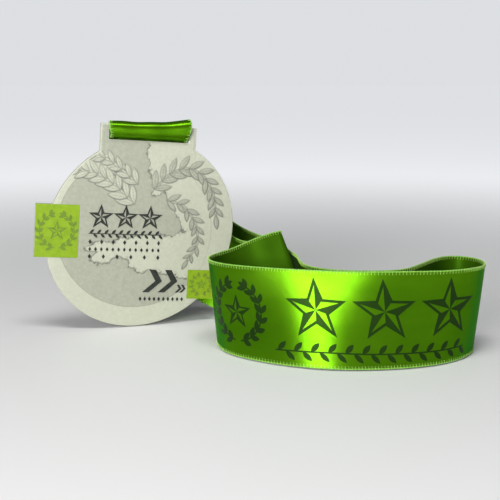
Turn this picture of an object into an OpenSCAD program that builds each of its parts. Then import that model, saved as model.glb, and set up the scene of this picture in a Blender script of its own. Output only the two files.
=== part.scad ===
// Sports finisher medal: a printed metal plate that hangs on the bar of its own tab,
// and a satin ribbon loop that goes round the bar and stands on its edge beside the plate.
// Millimetres, +Z up, the plate's face looks along -Y.

/* [Plate] */
// Mean radius of the oval plate
plate_r = 42.6; // [40:0.1:46]
// Long axis over short axis of the oval
oval_ratio = 1.09; // [1:0.01:1.15]
// Direction of the long axis, up from the plate's own horizontal
oval_tilt = 49; // [30:1:60]
// Thickness of the plate
plate_t = 3; // [2:0.1:3]
// How far the standing plate is turned clockwise
plate_roll = 4; // [0:0.5:4]

/* [Tab and slot] */
// Width of the tab
tab_w = 43; // [41:0.5:46]
// Width of the ribbon slot
slot_w = 36; // [36:0.5:37]
// Height of the ribbon slot
slot_h = 4.4; // [4.4:0.1:4.8]
// Height of the bar above the slot
bar_h = 2.4; // [2:0.1:2.4]
// Sideways offset of tab and slot from the middle of the oval
tab_shift = 1.2; // [0:0.1:2]

/* [Printed face] */
// Radius of the printed field
field_r = 35.2; // [32:0.1:36]
// Thickness of each layer of print
print_t = 0.2; // [0.1:0.05:0.4]
// Width of the left panel
panel_w = 19; // [16:0.5:20]
// Height of the left panel
panel_h = 23.6; // [20:0.2:25]
// Width and height of the right panel
panel_small = 13.4; // [12:0.2:14]

/* [Ribbon] */
// Thickness of the ribbon
ribbon_t = 0.6; // [0.4:0.1:0.6]
// Width of the ribbon where the slot gathers it
gathered_w = 34.6; // [33:0.2:35]
// Free space between the bar's edge and the ribbon round it
wrap_gap = 0.4; // [0.35:0.05:0.5]

/* [Hidden] */

// The middle of the whole object stands over the origin.
middle = [39.9, -30.8, 0];

oval_a = plate_r * sqrt(oval_ratio);
oval_b = plate_r / sqrt(oval_ratio);
lean = oval_tilt - plate_roll;
rest_h = sqrt(pow(oval_a * sin(lean), 2) + pow(oval_b * cos(lean), 2));
slot_z = 41.2;
bar_z = slot_z + slot_h + bar_h / 2;
tab_top = slot_z + slot_h + bar_h;
panel_x = -47.2;
panel_z = -12;
small_x = 22.4;
small_z = -30;
field_at = [-3, 1];
// Bare metal left between the printed field and the plate's rim
rim_gap = 0.6;
face_y = -plate_t / 2;
oval_steps = 144;
circle_steps = 96;

wrap_in = sqrt(pow(plate_t / 2, 2) + pow(bar_h / 2, 2)) + wrap_gap;
wrap_out = wrap_in + ribbon_t;
wrap_drop = 1.9;

// The ribbon's route, one station a row: a point on its upper edge, and the point across
// from it on its lower edge. It starts behind the slot, runs down and right behind the plate,
// folds back, makes the standing loop, and climbs behind the plate to the top of the bar.
route = [
    [[21.5, 2.9, 84.5], [-13, 2.9, 87]],
    [[24, 6, 68], [-13, 6, 65]],
    [[32, 9, 52], [3, 15, 31]],
    [[42, 9, 41], [28, 14, 7]],
    [[47, -1, 37], [45.5, 4, 0.5]],
    [[51, -15, 39], [57, -13, 1.5]],
    [[53, -28, 44], [65, -26, 7]],
    [[54, -37, 46.5], [69, -35, 10.5]],
    [[50, -35.5, 45.5], [63, -36, 7.5]],
    [[43.5, -31, 42.5], [52, -31, 4]],
    [[37, -30, 39.5], [41, -30, 1.5]],
    [[30, -32, 38], [32, -32, 0]],
    [[22.5, -38, 37.5], [25.5, -38, 0]],
    [[19, -47, 37.5], [23.5, -48, 0]],
    [[21, -56, 37.5], [23.5, -58, 0]],
    [[28, -65, 37.5], [28.5, -69, 0]],
    [[39, -74, 37.5], [38, -81, 0]],
    [[53, -83, 37.5], [53, -93, 0]],
    [[68, -91, 37.5], [69, -99, 0]],
    [[85, -98, 38], [86, -101, 0]],
    [[102, -101, 38], [103, -98.5, 0]],
    [[116, -98, 38], [116, -92, 0]],
    [[124.5, -89, 37.5], [124, -83, 0]],
    [[127.5, -78, 37.5], [126, -74, 0]],
    [[122, -68, 37.5], [121, -66, 0]],
    [[112, -70, 37.5], [112, -70, 0]],
    [[100, -81, 37.5], [100, -82, 0]],
    [[88, -89, 37], [88, -92, 0]],
    [[74, -88, 37], [75, -94, 0]],
    [[61, -81, 37], [62, -88, 0]],
    [[54, -75, 37.5], [56, -79, 0]],
    [[54, -64, 37.5], [61, -65, 0]],
    [[57.5, -49, 37], [70, -49, 0]],
    [[60.5, -34, 36.5], [75.5, -33, 0]],
    [[62, -16, 36.5], [73, -14, 0]],
    [[60, 8, 37.5], [66, 9, 0]],
    [[57, 20, 38.5], [64, 24, 2]],
    [[49, 20, 43], [55, 38, 11]],
    [[37, 14, 53], [20, 37, 30]],
    [[27, 9, 69], [-8, 17, 58]],
    [[21.5, 3.3, 87.5], [-13, 3.3, 90]]];
last_station = len(route) - 1;
rings_per_station = 4;
// The two ends of the ribbon lap between these stations.
seam_from = 34.25;
seam_to = 34.75;
seam_inset = 0.02;
seam_lift = 0.02;
// The standing spans are cut off level this much above their lowest points.
edge_cut = 0.1;
// Side of a block that takes in everything that stands on the table
room = 400;

// Point at station s on one edge, on a smooth curve through the route's points.
function edge_point(side, s) =
    let (i = min(floor(s), last_station - 1), u = s - i,
         p0 = route[max(i - 1, 0)][side], p1 = route[i][side],
         p2 = route[i + 1][side], p3 = route[min(i + 2, last_station)][side])
    (2 * p1 + (p2 - p0) * u + (2 * p0 - 5 * p1 + 4 * p2 - p3) * u * u
     + (3 * p1 - p0 - 3 * p2 + p3) * u * u * u) / 2;
function mid_point(s) = (edge_point(0, s) + edge_point(1, s)) / 2;
function unit(v) = v / norm(v);
function out_of_ribbon(s) =
    let (ahead = mid_point(min(s + 0.05, last_station)) - mid_point(max(s - 0.05, 0)),
         down = edge_point(1, s) - edge_point(0, s))
    unit(cross(down, ahead));

// One closed strip of ribbon between two stations, from height low to high off its middle.
module ribbon_span(from, to, low = -ribbon_t / 2, high = ribbon_t / 2, inset = 0) {
    count = round((to - from) * rings_per_station);
    rings = [for (k = [0:count])
        let (s = from + (to - from) * k / count, n = out_of_ribbon(s),
             a = edge_point(0, s), b = edge_point(1, s), w = (b - a) * inset)
        [a + w + n * low, b - w + n * low, b - w + n * high, a + w + n * high]];
    sides = [for (k = [0:count - 1], j = [0:3])
        let (here = 4 * k, next = 4 * (k + 1), m = (j + 1) % 4)
        each (j == 0
              ? [[here, next, here + 1], [next, next + 1, here + 1]]
              : [[here + j, next + j, next + m], [here + j, next + m, here + m]])];
    polyhedron(points = [for (ring = rings) each ring],
               faces = concat([[0, 1, 2], [0, 2, 3]], sides,
                              [[4 * count + 2, 4 * count + 1, 4 * count],
                               [4 * count + 3, 4 * count + 2, 4 * count]]));
}

// A span whose lower edge is cut level where it meets the table.
module standing_span(from, to) {
    intersection() {
        translate([0, 0, -edge_cut]) ribbon_span(from, to);
        translate([-room / 2, -room / 2, 0]) cube(room);
    }
}

module placed() {
    translate(-middle) children();
}

// Children are drawn flat, with the plate's face as their XY plane, and stand up in the pose.
module on_face(depth, back_y) {
    placed() translate([0, 0, rest_h]) rotate([0, plate_roll, 0]) translate([0, back_y, 0])
        rotate([90, 0, 0]) linear_extrude(depth) children();
}

module oval(grow = 0) {
    polygon([for (i = [0:oval_steps - 1])
        let (t = 360 * i / oval_steps, x = (oval_a + grow) * cos(t), y = (oval_b + grow) * sin(t))
        [x * cos(oval_tilt) - y * sin(oval_tilt), x * sin(oval_tilt) + y * cos(oval_tilt)]]);
}

module left_panel_shape() {
    translate([panel_x, panel_z]) square([panel_w, panel_h]);
}

module right_panel_shape() {
    translate([small_x, small_z]) square(panel_small);
}

module plate_outline() {
    difference() {
        union() {
            oval();
            translate([tab_shift - tab_w / 2, 0]) square([tab_w, tab_top]);
            left_panel_shape();
            right_panel_shape();
        }
        translate([tab_shift - slot_w / 2, slot_z]) square([slot_w, slot_h]);
    }
}

module medal_plate() {
    color("gainsboro") on_face(plate_t, -face_y) plate_outline();
}

// The printed field lies on the plate inside its rim and leaves room for the two panels.
module printed_field() {
    color([0.70, 0.72, 0.64]) on_face(print_t, face_y) difference() {
        intersection() {
            translate(field_at) circle(field_r, $fn = circle_steps);
            oval(-rim_gap);
        }
        left_panel_shape();
        right_panel_shape();
    }
}

// Patches of land on the print: the middle, the mean radius and the number of bays.
lands = [[[-22, 17], 4.5, 3], [[-14, 26], 3, 4], [[-17, -22], 5, 5], [[-7, -27], 2.6, 3]];
bay_depth = 0.16;
cove_depth = 0.1;
bay_turn = 40;

// A patch of land with a wavy coast.
module coast(at, r, bays) {
    translate(at) polygon([for (t = [0:6:354])
        let (bay = bay_depth * sin(bays * t + bay_turn), cove = cove_depth * sin((bays + 2) * t))
        r * (1 + bay + cove) * [cos(t), sin(t)]]);
}

module raised_land() {
    color([0.80, 0.82, 0.74]) on_face(print_t, face_y - print_t)
        for (land = lands) coast(land[0], land[1], land[2]);
}

// A leaf is where two circles overlap, with its tip along +X.
module leaf(l, r) {
    h = sqrt(r * r - l * l / 4);
    translate([l / 2, 0]) intersection() {
        translate([0, h]) circle(r, $fn = 48);
        translate([0, -h]) circle(r, $fn = 48);
    }
}

// A laurel branch bends over the top and the right of the field.
branch_at = [-1, -1];
branch_r = 23;
branch_from = -32;
branch_step = 14;
leaf_pairs = 10;
leaf_l = 8.4;
leaf_curve = 7.4;
// Angle of each leaf off the branch's own radius
leaf_spread = 36;
stem_w = 0.9;
module raised_laurel() {
    color([0.74, 0.76, 0.68]) on_face(print_t, face_y - print_t) translate(branch_at) {
        rotate(branch_from) difference() {
            circle(branch_r + stem_w / 2, $fn = circle_steps);
            circle(branch_r - stem_w / 2, $fn = circle_steps);
            for (turn = [branch_step * (leaf_pairs - 1), 180])
                rotate(turn) translate([-2 * branch_r, 0]) square([4 * branch_r, 2 * branch_r]);
        }
        for (i = [0:leaf_pairs - 1], side = [-1, 1]) {
            rotate(branch_from + branch_step * i) translate([branch_r, 0])
                rotate(90 - side * leaf_spread) leaf(leaf_l, leaf_curve);
        }
    }
}

// A five-pointed star, its inner corners at star_waist of its radius.
star_waist = 0.42;
module star(r) {
    polygon([for (i = [0:9]) let (t = 90 + 36 * i) r * (i % 2 == 0 ? 1 : star_waist) * [cos(t), sin(t)]]);
}

// A row of lozenges, count of them from at, step apart.
module lozenges(at, count, step, size) {
    for (i = [0:count - 1]) translate([at.x + i * step, at.y]) rotate(45) square(size, center = true);
}

// A thin vine of small leaves that point up and down by turns.
vine_leaf_l = 2.3;
vine_leaf_curve = 1.7;
vine_lean = 32;
module vine(at, count, step) {
    for (i = [0:count - 1]) translate([at.x + i * step, at.y])
        rotate(i % 2 == 0 ? vine_lean : -vine_lean) leaf(vine_leaf_l, vine_leaf_curve);
}

module chevron(w, h, stroke) {
    polygon([[0, 0], [stroke, 0], [stroke + w, h / 2], [stroke, h], [0, h], [w, h / 2]]);
}

// Three stars make the heading, a vine and rows of lozenges the lines under it,
// and two large chevrons and a small one the mark at the lower right, with a row below it.
star_r = 5.4;
star_step = 11.1;
heading_at = [-18.6, 6.6];
vine_at = [-23.8, -1.3];
vine_leaves = 15;
vine_step = 2.15;
// Each row of lozenges: where it starts, how many, their step and their size.
lozenge_rows = [[[-22.8, -5.4], 7, 5.1, 1.2], [[-22.8, -8.9], 13, 2.55, 1.2],
                [[-22.8, -12.5], 6, 6.12, 1.2], [[1.4, -32.2], 9, 2.4, 1.3]];
// Each chevron: its lower left corner, width, height and stroke.
chevrons = [[[2, -28.8], 5, 11, 3.4], [[9.6, -28.8], 5, 11, 3.4], [[18.2, -28.8], 1.6, 3.6, 1.1]];
module printed_marks() {
    color([0.12, 0.12, 0.12]) on_face(print_t / 2, face_y - print_t) {
        for (i = [0:2]) translate([heading_at.x + star_step * i, heading_at.y]) star(star_r);
        vine(vine_at, vine_leaves, vine_step);
        for (row = lozenge_rows) lozenges(row[0], row[1], row[2], row[3]);
        for (mark = chevrons) translate(mark[0]) chevron(mark[1], mark[2], mark[3]);
    }
}

// A star on each panel, in an ink a little darker than the panel.
left_star_r = 7.4;
right_star_r = 4.4;
module panel_stars() {
    color([0.50, 0.58, 0.16]) on_face(print_t / 2, face_y - print_t) {
        translate([panel_x + panel_w / 2, panel_z + panel_h / 2]) star(left_star_r);
        translate([small_x + panel_small / 2, small_z + panel_small / 2]) star(right_star_r);
    }
}

module left_panel() {
    color([0.62, 0.72, 0.20]) on_face(print_t, face_y) left_panel_shape();
}

module right_panel() {
    color([0.62, 0.72, 0.20]) on_face(print_t, face_y) right_panel_shape();
}

module wrap_profile(r) {
    circle(r, $fn = 64);
    translate([0, -wrap_drop]) circle(r, $fn = 64);
    translate([-r, -wrap_drop]) square([2 * r, wrap_drop]);
}

// The ribbon round the bar: down over the front, back through the slot.
module ribbon_bar_wrap() {
    color("yellowgreen") placed() translate([0, 0, rest_h]) rotate([0, plate_roll, 0])
        translate([tab_shift - gathered_w / 2, 0, bar_z]) rotate([90, 0, 90])
        linear_extrude(gathered_w) difference() {
            wrap_profile(wrap_out);
            wrap_profile(wrap_in);
        }
}

module ribbon_rear_strand_in() { color("olivedrab") placed() standing_span(0, 4); }
module ribbon_fold() { color("green") placed() standing_span(4, 7); }
module ribbon_inner_band() { color("forestgreen") placed() standing_span(7, 11); }
module ribbon_left_turn() { color("yellowgreen") placed() standing_span(11, 15); }
module ribbon_front_left() { color("greenyellow") placed() standing_span(15, 18); }
module ribbon_front_right() { color("limegreen") placed() standing_span(18, 21); }
module ribbon_right_turn() { color("yellowgreen") placed() standing_span(21, 25); }
module ribbon_return_band() { color("forestgreen") placed() standing_span(25, 30); }
module ribbon_cross_band() { color("green") placed() standing_span(30, 36); }
module ribbon_rear_strand_out() { color("olivedrab") placed() standing_span(36, last_station); }

// The lap of the ribbon's two ends, sewn through to the band under it.
module ribbon_seam() {
    under = ribbon_t / 2 + seam_lift;
    color("olive") placed() translate([0, 0, -edge_cut])
        ribbon_span(seam_from, seam_to, under, under + ribbon_t, seam_inset);
}

medal_plate();
printed_field();
raised_land();
raised_laurel();
printed_marks();
left_panel();
right_panel();
panel_stars();
ribbon_bar_wrap();
ribbon_rear_strand_in();
ribbon_fold();
ribbon_inner_band();
ribbon_left_turn();
ribbon_front_left();
ribbon_front_right();
ribbon_right_turn();
ribbon_return_band();
ribbon_cross_band();
ribbon_rear_strand_out();
ribbon_seam();
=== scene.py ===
"""A finisher medal: an oval printed plate that hangs on a satin ribbon loop standing beside it."""
import math

import bmesh
import bpy
import numpy as np
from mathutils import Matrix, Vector
from mathutils.geometry import delaunay_2d_cdt


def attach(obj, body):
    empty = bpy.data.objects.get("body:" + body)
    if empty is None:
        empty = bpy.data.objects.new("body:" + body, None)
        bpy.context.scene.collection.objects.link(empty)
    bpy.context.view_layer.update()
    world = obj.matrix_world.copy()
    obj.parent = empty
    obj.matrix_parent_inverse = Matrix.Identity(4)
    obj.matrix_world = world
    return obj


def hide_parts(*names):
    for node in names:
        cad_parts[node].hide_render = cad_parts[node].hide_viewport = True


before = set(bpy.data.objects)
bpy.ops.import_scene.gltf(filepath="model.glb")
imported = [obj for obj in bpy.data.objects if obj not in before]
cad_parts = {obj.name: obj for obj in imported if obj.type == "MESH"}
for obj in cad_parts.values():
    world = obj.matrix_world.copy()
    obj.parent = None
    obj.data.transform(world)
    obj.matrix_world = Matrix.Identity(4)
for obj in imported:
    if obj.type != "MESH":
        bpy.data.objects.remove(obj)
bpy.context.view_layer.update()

MM = 0.001

# ---------------------------------------------------------------- driving dimensions, in mm

# The object's middle stands over the origin; the plate's own middle is over PLATE_XY.
PLATE_XY = np.array([-39.9, 30.8])
PLATE_R = 42.6
OVAL_RATIO = 1.09
OVAL_TILT = math.radians(49)
PLATE_ROLL = math.radians(4)
PLATE_T = 3.0
PLATE_BEVEL = 0.22
TAB_W = 43.0
TAB_SHIFT = 1.2
SLOT_W = 36.0
SLOT_H = 4.4
SLOT_Z = 41.2
SLOT_CORNER = 0.5
BAR_H = 2.4
PANEL = (-47.2, -12.0, 19.0, 23.6)
SMALL_PANEL = (22.4, -30.0, 13.4, 13.4)
FIELD_AT = np.array([-3.0, 1.0])
FIELD_R = 35.2

RIBBON_W = 38.0
GATHERED_W = 35.0
RIBBON_T = 0.36
BEAD_R = 0.3
STITCH_STEP = 1.3

OVAL_A = PLATE_R * math.sqrt(OVAL_RATIO)
OVAL_B = PLATE_R / math.sqrt(OVAL_RATIO)
LEAN = OVAL_TILT - PLATE_ROLL
REST_H = math.hypot(OVAL_A * math.sin(LEAN), OVAL_B * math.cos(LEAN))
BAR_Z = SLOT_Z + SLOT_H + BAR_H / 2
TAB_TOP = SLOT_Z + SLOT_H + BAR_H
FACE_Y = -PLATE_T / 2

# The ribbon's route: a point on its upper edge and the point across on its lower edge,
# in mm from the floor point under the plate's middle.
ROUTE = [
    ((21.5, 2.9, 84.5), (-13, 2.9, 87)),
    ((24, 6, 68), (-13, 6, 65)),
    ((32, 9, 52), (3, 15, 31)),
    ((42, 9, 41), (28, 14, 7)),
    ((47, -1, 37), (45.5, 4, 0.5)),
    ((51, -15, 39), (57, -13, 1.5)),
    ((53, -28, 44), (65, -26, 7)),
    ((54, -37, 46.5), (69, -35, 10.5)),
    ((50, -35.5, 45.5), (63, -36, 7.5)),
    ((43.5, -31, 42.5), (52, -31, 4)),
    ((37, -30, 39.5), (41, -30, 1.5)),
    ((30, -32, 38), (32, -32, 0)),
    ((22.5, -38, 37.5), (25.5, -38, 0)),
    ((19, -47, 37.5), (23.5, -48, 0)),
    ((21, -56, 37.5), (23.5, -58, 0)),
    ((28, -65, 37.5), (28.5, -69, 0)),
    ((39, -74, 37.5), (38, -81, 0)),
    ((53, -83, 37.5), (53, -93, 0)),
    ((68, -91, 37.5), (69, -99, 0)),
    ((85, -98, 38), (86, -101, 0)),
    ((102, -101, 38), (103, -98.5, 0)),
    ((116, -98, 38), (116, -92, 0)),
    ((124.5, -89, 37.5), (124, -83, 0)),
    ((127.5, -78, 37.5), (126, -74, 0)),
    ((122, -68, 37.5), (121, -66, 0)),
    ((112, -70, 37.5), (112, -70, 0)),
    ((100, -81, 37.5), (100, -82, 0)),
    ((88, -89, 37), (88, -92, 0)),
    ((74, -88, 37), (75, -94, 0)),
    ((61, -81, 37), (62, -88, 0)),
    ((54, -75, 37.5), (56, -79, 0)),
    ((54, -64, 37.5), (61, -65, 0)),
    ((57.5, -49, 37), (70, -49, 0)),
    ((60.5, -34, 36.5), (75.5, -33, 0)),
    ((62, -16, 36.5), (73, -14, 0)),
    ((60, 8, 37.5), (66, 9, 0)),
    ((57, 20, 38.5), (64, 24, 2)),
    ((49, 20, 43), (55, 38, 11)),
    ((37, 14, 53), (20, 37, 30)),
    ((27, 9, 69), (-8, 17, 58)),
    ((21.5, 3.3, 87.5), (-13, 3.3, 90)),
]
CREASE_STATION = 7
# Round the bar: depth, height and sideways spread from the bar's axis, at the ribbon's right edge
# and at its left edge. It comes over the top to the front, and goes back through the slot. The
# ribbon keeps the left edge's height over most of its width, and flares near its right edge.
WRAP = [
    ((3.3, 1.6, 0.0), (3.1, 0.7, 0.0)),
    ((2.4, 3.9, 0.4), (2.0, 2.0, -0.2)),
    ((0.0, 4.9, 0.9), (0.0, 2.4, -0.5)),
    ((-2.4, 4.1, 1.3), (-2.2, 1.8, -0.8)),
    ((-3.6, 1.9, 1.5), (-3.2, 0.2, -0.8)),
    ((-3.8, -1.0, 1.0), (-3.5, -1.8, -0.4)),
    ((-3.2, -3.4, 0.2), (-3.0, -3.6, 0.0)),
    ((-1.4, -4.65, 0.0), (-1.4, -4.65, 0.0)),
    ((1.0, -4.75, 0.0), (1.0, -4.75, 0.0)),
]


# ---------------------------------------------------------------- small helpers


def smoothstep(x, low, high):
    """0 below low, 1 above high, and smooth between them."""
    t = np.clip((x - low) / (high - low), 0.0, 1.0)
    return t * t * (3 - 2 * t)


def unit(v):
    return v / np.maximum(np.linalg.norm(v, axis=-1, keepdims=True), 1e-9)


def waves(x, y, seed, size, count=24):
    """Smooth noise between about -1 and 1, made of count waves of roughly the given size."""
    rng = np.random.default_rng(seed)
    total = np.zeros(np.broadcast(x, y).shape)
    for _ in range(count):
        angle = rng.uniform(0, math.tau)
        k = math.tau / (size * rng.uniform(0.6, 1.8))
        phase = rng.uniform(0, math.tau)
        total = total + np.sin(k * (x * math.cos(angle) + y * math.sin(angle)) + phase)
    return total / math.sqrt(count)


def in_row(points):
    """From mm at the floor point under the plate to metres in the row's frame."""
    return (np.asarray(points, float) + np.array([*PLATE_XY, 0.0])) * MM


def from_plate(x, y, z):
    """From the plate's own mm, with its middle as origin, to mm at the floor point under it."""
    c, s = math.cos(PLATE_ROLL), math.sin(PLATE_ROLL)
    return np.stack([x * c + z * s, y + 0 * x, REST_H + z * c - x * s], axis=-1)


def new_piece(name, verts, faces, material, uv=None, sharp=None):
    """A smooth mesh object from points in metres. uv is one pair for each point.

    Edges that turn by more than sharp degrees stay crisp.
    """
    mesh = bpy.data.meshes.new(name)
    mesh.from_pydata([tuple(v) for v in np.asarray(verts).tolist()], [], [tuple(f) for f in faces])
    if uv is not None:
        layer = mesh.uv_layers.new(name="UVMap")
        index = np.empty(len(mesh.loops), dtype=np.int32)
        mesh.loops.foreach_get("vertex_index", index)
        layer.data.foreach_set("uv", np.asarray(uv, dtype=np.float32)[index].ravel())
    mesh.materials.append(material)
    mesh.validate()
    mesh.shade_smooth()
    if sharp is not None:
        mesh.set_sharp_from_angle(angle=math.radians(sharp))
    piece = bpy.data.objects.new(name, mesh)
    bpy.context.scene.collection.objects.link(piece)
    return piece


def grid_faces(rows, columns, closed_rows=False, closed_columns=False, start=0):
    """Quads of a grid of points stored row by row."""
    faces = []
    for i in range(rows if closed_rows else rows - 1):
        for j in range(columns if closed_columns else columns - 1):
            i2, j2 = (i + 1) % rows, (j + 1) % columns
            quad = (i * columns + j, i2 * columns + j, i2 * columns + j2, i * columns + j2)
            faces.append(tuple(start + k for k in quad))
    return faces


def open_edges(faces):
    """The edges that only one face has, each in that face's direction."""
    directed = {edge: True for face in faces for edge in zip(face, face[1:] + face[:1])}
    return [(a, b) for a, b in directed if (b, a) not in directed]


def skirt(rim, first):
    """Quads that join a rim to copies of its points. Returns which points, and the quads."""
    used = sorted({k for edge in rim for k in edge})
    low = {k: first + n for n, k in enumerate(used)}
    return used, [(b, a, low[a], low[b]) for a, b in rim]


def inside(polygon, x, z):
    """Whether points lie in a polygon, by the even-odd rule."""
    hit = np.zeros(x.shape, bool)
    for (x1, z1), (x2, z2) in zip(polygon, np.roll(polygon, -1, axis=0)):
        crosses = (z1 > z) != (z2 > z)
        at = x1 + (z - z1) * (x2 - x1) / (z2 - z1 if z2 != z1 else 1e-9)
        hit ^= crosses & (x < at)
    return hit


def edge_distance(polygon, x, z):
    """Distance from points to the nearest side of a closed polygon."""
    best = np.full(x.shape, 1e9)
    for a, b in zip(polygon, np.roll(polygon, -1, axis=0)):
        d = b - a
        t = np.clip(((x - a[0]) * d[0] + (z - a[1]) * d[1]) / (d @ d), 0, 1)
        best = np.minimum(best, np.hypot(x - a[0] - t * d[0], z - a[1] - t * d[1]))
    return best


# ---------------------------------------------------------------- flat shapes, in mm


def turned(shape, angle=0.0, at=(0.0, 0.0), scale=1.0):
    c, s = math.cos(angle), math.sin(angle)
    p = np.asarray(shape, float) * scale
    return np.stack([p[:, 0] * c - p[:, 1] * s + at[0], p[:, 0] * s + p[:, 1] * c + at[1]], axis=1)


def leaf_shape(length, width, steps=7):
    """A pointed leaf from the origin along +x."""
    t = np.linspace(0, 1, steps + 1)
    half = width / 2 * np.sin(math.pi * t) ** 0.85
    top = np.stack([t * length, half], axis=1)
    return np.concatenate([top, np.stack([t, -half / length], axis=1)[-2:0:-1] * length])


def lozenge(at, width, height):
    w, h = width / 2, height / 2
    return turned([(w, 0), (0, h), (-w, 0), (0, -h)], at=at)


def stroke(points, width):
    """A band of one width along a line of points."""
    p = np.asarray(points, float)
    d = unit(np.gradient(p, axis=0))
    side = np.stack([-d[:, 1], d[:, 0]], axis=1) * width / 2
    return np.concatenate([p + side, (p - side)[::-1]])


STAR_WAIST = 0.42


def compass_star(at, r, line):
    """A five-pointed star whose arms are solid on one side and drawn in outline on the other."""
    shapes = []
    for i in range(5):
        tip, left, right = (size * np.array([math.cos(math.radians(a)), math.sin(math.radians(a))])
                            for a, size in ((90 + 72 * i, r), (126 + 72 * i, STAR_WAIST * r),
                                            (54 + 72 * i, STAR_WAIST * r)))
        shapes.append(turned([(0, 0), tip, right], at=at))
        side_gap = abs(tip[0] * left[1] - tip[1] * left[0]) / np.linalg.norm(tip - left)
        inner = 1 - line / side_gap
        shapes.append(turned([tip, left, left * inner, tip * inner], at=at))
    return shapes


def wreath(at, r, pairs=8, gap=28.0):
    """Two laurel branches that meet at the foot, round a star."""
    shapes = []
    for side in (1, -1):
        first, last = math.radians(-90 + gap / 4), math.radians(90 - gap)
        t = np.linspace(first, last, 24)
        stem = np.stack([side * r * np.cos(t), r * np.sin(t)], axis=1)
        shapes.append(turned(stroke(stem, 0.055 * r), at=at))
        for a in np.linspace(first + 0.12, last, pairs):
            foot = (side * r * math.cos(a) + at[0], r * math.sin(a) + at[1])
            along = a + math.pi / 2 if side > 0 else math.pi / 2 - a
            for lean, size in ((0.62, 0.42), (-0.62, 0.36)):
                blade = leaf_shape(size * r, 0.19 * r)
                shapes.append(turned(blade, along + lean, foot))
        tip = (side * r * math.cos(last) + at[0], r * math.sin(last) + at[1])
        end = last + math.pi / 2 if side > 0 else math.pi / 2 - last
        shapes.append(turned(leaf_shape(0.4 * r, 0.15 * r), end, tip))
    shapes += compass_star(at, 0.62 * r, 0.06 * r)
    return shapes


def vine(start, end, leaf, count):
    """A straight stem with leaves above and below it by turns."""
    start, end = np.array(start, float), np.array(end, float)
    shapes = [stroke([start, (start + end) / 2, end], 0.12 * leaf)]
    angle = math.atan2(end[1] - start[1], end[0] - start[0])
    for i in range(count):
        foot = start + (end - start) * (i + 0.3) / count
        lean = 0.8 if i % 2 == 0 else -0.8
        shapes.append(turned(leaf_shape(leaf, 0.42 * leaf), angle + lean, foot))
    return shapes


def chevron(at, w, h, thick, slant=0.0):
    shape = [(0, 0), (thick, 0), (thick + w, h / 2), (thick, h), (0, h), (w, h / 2)]
    return turned([(x + slant * y, y) for x, y in shape], at=at)


def dense(polygon, step):
    """The polygon with extra points, none further apart than step."""
    out = []
    for a, b in zip(polygon, np.roll(polygon, -1, axis=0)):
        n = max(1, math.ceil(np.linalg.norm(b - a) / step))
        out += [a + (b - a) * k / n for k in range(n)]
    return np.array(out)


def filled(shapes, step):
    """Triangles of the union of flat shapes, with points inside them too. Returns points and faces."""
    points, loops = [], []
    for shape in shapes:
        ring = dense(np.asarray(shape, float), step)
        loops.append(list(range(len(points), len(points) + len(ring))))
        points += [Vector(p) for p in ring]
    low = np.min([np.min(s, axis=0) for s in shapes], axis=0)
    high = np.max([np.max(s, axis=0) for s in shapes], axis=0)
    gx, gz = np.meshgrid(np.arange(low[0], high[0], step), np.arange(low[1], high[1], step))
    gx, gz = gx.ravel(), gz.ravel()
    keep = np.zeros(gx.shape, bool)
    for shape in shapes:
        keep |= inside(np.asarray(shape, float), gx, gz) & (edge_distance(shape, gx, gz) > 0.3 * step)
    points += [Vector(p) for p in zip(gx[keep], gz[keep])]
    verts, _, faces, *_ = delaunay_2d_cdt(points, [], loops, 0, 1e-5, False)
    flat = np.array([tuple(v) for v in verts])
    centre = np.array([flat[list(f)].mean(axis=0) for f in faces])
    keep = np.zeros(len(centre), bool)
    for shape in shapes:
        keep |= inside(np.asarray(shape, float), centre[:, 0], centre[:, 1])
    faces = [tuple(f) for f, ok in zip(faces, keep) if ok]
    used = sorted({k for f in faces for k in f})
    renumber = dict(zip(used, range(len(used))))
    return flat[used], [tuple(renumber[k] for k in f) for f in faces]


def print_on(name, shapes, place, material, lift=0.05, sink=0.06, step=1.0):
    """A thin layer of ink of the given flat shapes. place(x, z, off) gives points in the row."""
    flat, faces = filled(shapes, step)
    top = place(flat[:, 0], flat[:, 1], lift)
    foot = place(flat[:, 0], flat[:, 1], -sink)
    used, sides = skirt(open_edges(faces), len(flat))
    uv = np.stack([RIBBON_W / 2 - flat[:, 1], flat[:, 0]], axis=-1) * MM
    return new_piece(name, np.concatenate([top, foot[used]]), faces + sides, material,
                     uv=np.concatenate([uv, uv[used]]), sharp=40)


# ---------------------------------------------------------------- materials


def nodes_of(name):
    material = bpy.data.materials.new(name)
    material.use_nodes = True
    tree = material.node_tree
    return material, tree, tree.nodes["Principled BSDF"]


def link(tree, a, out, b, into):
    tree.links.new(a.outputs[out], b.inputs[into])


def noise(tree, coords, scale, detail=3.0, rough=0.55, stretch=None):
    """A noise texture over the named texture coordinates, stretched if asked."""
    source = tree.nodes.new("ShaderNodeTexCoord")
    texture = tree.nodes.new("ShaderNodeTexNoise")
    texture.inputs["Scale"].default_value = scale
    texture.inputs["Detail"].default_value = detail
    texture.inputs["Roughness"].default_value = rough
    if stretch:
        mapping = tree.nodes.new("ShaderNodeMapping")
        mapping.inputs["Scale"].default_value = stretch
        link(tree, source, coords, mapping, "Vector")
        link(tree, mapping, "Vector", texture, "Vector")
    else:
        link(tree, source, coords, texture, "Vector")
    return texture


def ramp(tree, source, out, stops):
    """A colour ramp from the given output, with two (place, colour) stops."""
    node = tree.nodes.new("ShaderNodeValToRGB")
    for element, (place, colour) in zip(node.color_ramp.elements, stops):
        element.position, element.color = place, (*colour, 1)
    link(tree, source, out, node, "Fac")
    return node


def grey(low, high):
    """The stops of a ramp from one grey to another."""
    return [(0.0, (low,) * 3), (1.0, (high,) * 3)]


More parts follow.
